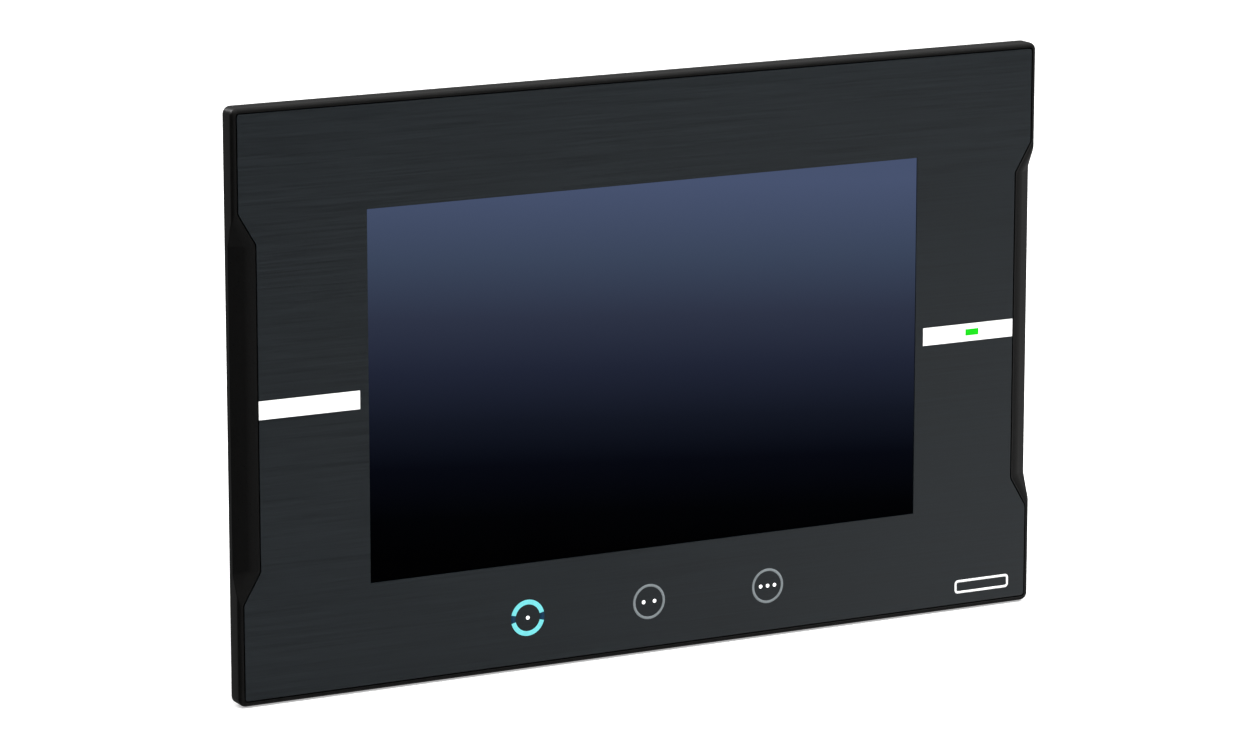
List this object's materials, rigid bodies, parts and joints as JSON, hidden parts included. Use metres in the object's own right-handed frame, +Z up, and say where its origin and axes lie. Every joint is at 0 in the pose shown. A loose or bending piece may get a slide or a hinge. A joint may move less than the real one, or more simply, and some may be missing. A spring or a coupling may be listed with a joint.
{
  "type": "hmi touch panel",
  "caption": "Panel-mounted operator touch screen with a brushed front sheet, side grip notches, touch keys and a stepped rear housing with connectors and clamp brackets.",
  "frame": {"origin": "centre of the panel cut-out, on the plane where the rear of the bezel flange seats on the control panel", "axes": "+X to the right of the screen, +Y from the screen towards the rear, +Z up"},
  "size_m": [0.29, 0.0693, 0.19],
  "materials": {
    "bezel_plastic": "fine satin moulded",
    "front_sheet": "fine horizontal brushed, satin",
    "trim_white": "smooth",
    "status_green": "lit translucent",
    "screen_glass": "smooth, lit image behind",
    "key_light": "frosted translucent",
    "foam": "closed-cell foam",
    "flex": "polyimide film",
    "sheet_steel": "zinc plated sheet",
    "plated_steel": "nickel plated",
    "circuit_board": "solder mask",
    "chip_black": "moulded epoxy",
    "aluminium": "extruded",
    "housing_plastic": "fine sparked texture",
    "plug_green": "satin moulded",
    "label": "blank film label",
    "battery_wrap": "shrink sleeve",
    "button_blue": "satin moulded"
  },
  "bodies": {
    "unit": {"front_bezel": "bezel_plastic", "front_sheet": "front_sheet", "trim_stripe_left": "trim_white", "trim_stripe_right": "trim_white", "status_light_guide": "status_green", "status_board": "circuit_board", "key_light_guide_1": "key_light", "key_light_guide_2": "key_light", "key_light_guide_3": "key_light", "key_sensor_board": "circuit_board", "panel_gasket": "foam", "touch_panel": "screen_glass", "display_seal": "foam", "lcd_frame": "sheet_steel", "lcd_cell": "chip_black", "light_guide_plate": "key_light", "led_strip": "trim_white", "backlight_tray": "sheet_steel", "lcd_flex": "flex", "touch_flex": "flex", "display_housing": "housing_plastic", "chassis_plate": "sheet_steel", "case_screw_top_left": "plated_steel", "case_screw_top_right": "plated_steel", "case_screw_bottom_left": "plated_steel", "case_screw_bottom_right": "plated_steel", "main_board": "circuit_board", "processor": "chip_black", "heat_sink": "aluminium", "buzzer": "chip_black", "power_header": "plug_green", "ethernet_jack_1": "plated_steel", "ethernet_jack_2": "plated_steel", "usb_host_port_1": "plated_steel", "usb_host_port_2": "plated_steel", "usb_device_port": "plated_steel", "serial_port": "plated_steel", "reset_switch": "chip_black", "sd_card_slot": "plated_steel", "battery_holder": "chip_black", "battery": "battery_wrap", "rear_case": "housing_plastic", "expansion_cover": "housing_plastic", "rating_plate": "label", "bracket_top_left": "sheet_steel", "bracket_top_right": "sheet_steel", "bracket_bottom_left": "sheet_steel", "bracket_bottom_right": "sheet_steel"},
    "power_plug": {"power_plug": "plug_green"},
    "reset_button": {"reset_button": "button_blue"},
    "sd_card": {"sd_card": "chip_black"},
    "sd_door": {"sd_door": "housing_plastic"},
    "battery_cover": {"battery_cover": "housing_plastic"},
    "terminal_screw_1": {"terminal_screw_1": "plated_steel"},
    "terminal_screw_2": {"terminal_screw_2": "plated_steel"},
    "terminal_screw_3": {"terminal_screw_3": "plated_steel"},
    "clamp_screw_top_left": {"clamp_screw_top_left": "plated_steel"},
    "clamp_screw_top_right": {"clamp_screw_top_right": "plated_steel"},
    "clamp_screw_bottom_left": {"clamp_screw_bottom_left": "plated_steel"},
    "clamp_screw_bottom_right": {"clamp_screw_bottom_right": "plated_steel"}
  },
  "joints": [
    {"name": "power_plug_pull", "type": "slide", "parent": "unit", "child": "power_plug", "axis": [0, 0, -1], "range_m": [0, 0.012]},
    {"name": "reset_press", "type": "slide", "parent": "unit", "child": "reset_button", "axis": [0, 0, 1], "range_m": [0, 0.0008], "stiffness_N_per_m": 300},
    {"name": "sd_card_push", "type": "slide", "parent": "unit", "child": "sd_card", "axis": [-1, 0, 0], "range_m": [-0.0006, 0.0035]},
    {"name": "sd_door_hinge", "type": "hinge", "parent": "unit", "child": "sd_door", "pos_m": [-0.0956, 0.0442, 0.024], "axis": [0, 0, -1], "range_deg": [0, 95]},
    {"name": "battery_cover_hinge", "type": "hinge", "parent": "unit", "child": "battery_cover", "pos_m": [0.046, 0.061, 0.044], "axis": [1, 0, 0], "range_deg": [0, 105]},
    {"name": "terminal_screw_1_turn", "type": "hinge", "parent": "power_plug", "child": "terminal_screw_1", "pos_m": [0.07092, 0.0442, -0.075], "axis": [0, 1, 0], "continuous": true},
    {"name": "terminal_screw_2_turn", "type": "hinge", "parent": "power_plug", "child": "terminal_screw_2", "pos_m": [0.076, 0.0442, -0.075], "axis": [0, 1, 0], "continuous": true},
    {"name": "terminal_screw_3_turn", "type": "hinge", "parent": "power_plug", "child": "terminal_screw_3", "pos_m": [0.08108, 0.0442, -0.075], "axis": [0, 1, 0], "continuous": true},
    {"name": "clamp_top_left_advance", "type": "slide", "parent": "unit", "child": "clamp_screw_top_left", "axis": [0, -1, 0], "range_m": [0, 0.0046]},
    {"name": "clamp_top_right_advance", "type": "slide", "parent": "unit", "child": "clamp_screw_top_right", "axis": [0, -1, 0], "range_m": [0, 0.0046]},
    {"name": "clamp_bottom_left_advance", "type": "slide", "parent": "unit", "child": "clamp_screw_bottom_left", "axis": [0, -1, 0], "range_m": [0, 0.0046]},
    {"name": "clamp_bottom_right_advance", "type": "slide", "parent": "unit", "child": "clamp_screw_bottom_right", "axis": [0, -1, 0], "range_m": [0, 0.0046]}
  ]
}
